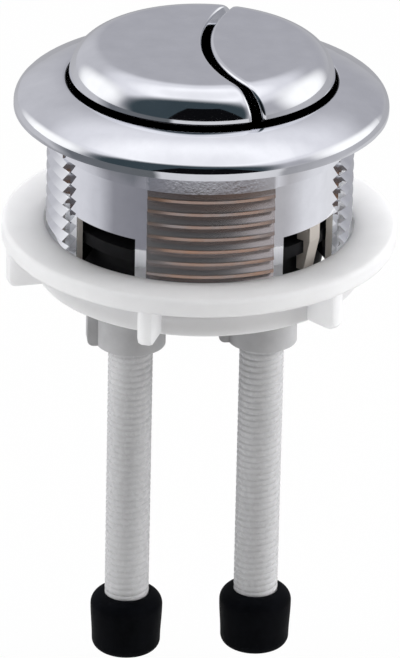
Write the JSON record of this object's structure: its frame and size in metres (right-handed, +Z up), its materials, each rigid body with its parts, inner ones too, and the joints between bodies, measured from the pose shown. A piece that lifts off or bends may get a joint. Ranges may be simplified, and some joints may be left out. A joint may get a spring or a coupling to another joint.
{
  "type": "dual flush push button for a cistern lid",
  "caption": "Round chrome dual flush push button with an arc-split cap, a threaded sleeve clamped by a finned lock nut, and sprung plungers with threaded rods and rubber tips.",
  "frame": {"origin": "on the bezel's axis, in the plane of the flange's underside that sits on the lid", "axes": "+Z up out of the lid along the bezel's axis; the rods lie along X, full flush at -X and half flush at +X; the view of the picture is from about -Y"},
  "size_m": [0.0742, 0.0742, 0.1257],
  "materials": {
    "chrome": "polished",
    "grey_plastic": "satin",
    "white_plastic": "satin",
    "white_nylon": "semi-gloss",
    "black_rubber": "matte",
    "spring_steel": "bright"
  },
  "bodies": {
    "housing": {"bezel": "chrome", "guide_plate": "grey_plastic", "full_flush_spring": "spring_steel", "half_flush_spring": "spring_steel"},
    "full_flush": {"full_flush_button": "chrome", "full_flush_plunger": "grey_plastic", "full_flush_rod": "white_nylon", "full_flush_tip": "black_rubber"},
    "half_flush": {"half_flush_button": "chrome", "half_flush_plunger": "grey_plastic", "half_flush_rod": "white_nylon", "half_flush_tip": "black_rubber"},
    "nut": {"lock_nut": "white_plastic"}
  },
  "joints": [
    {"name": "full_flush_press", "type": "slide", "parent": "housing", "child": "full_flush", "axis": [0, 0, -1], "range_m": [0, 0.007], "stiffness_N_per_m": 500, "springref_m": -0.006, "deforming": ["full_flush_spring"]},
    {"name": "half_flush_press", "type": "slide", "parent": "housing", "child": "half_flush", "axis": [0, 0, -1], "range_m": [0, 0.007], "stiffness_N_per_m": 500, "springref_m": -0.006, "deforming": ["half_flush_spring"]},
    {"name": "nut_travel", "type": "slide", "parent": "housing", "child": "nut", "axis": [0, 0, 1], "range_m": [-0.006, 0.016]}
  ]
}
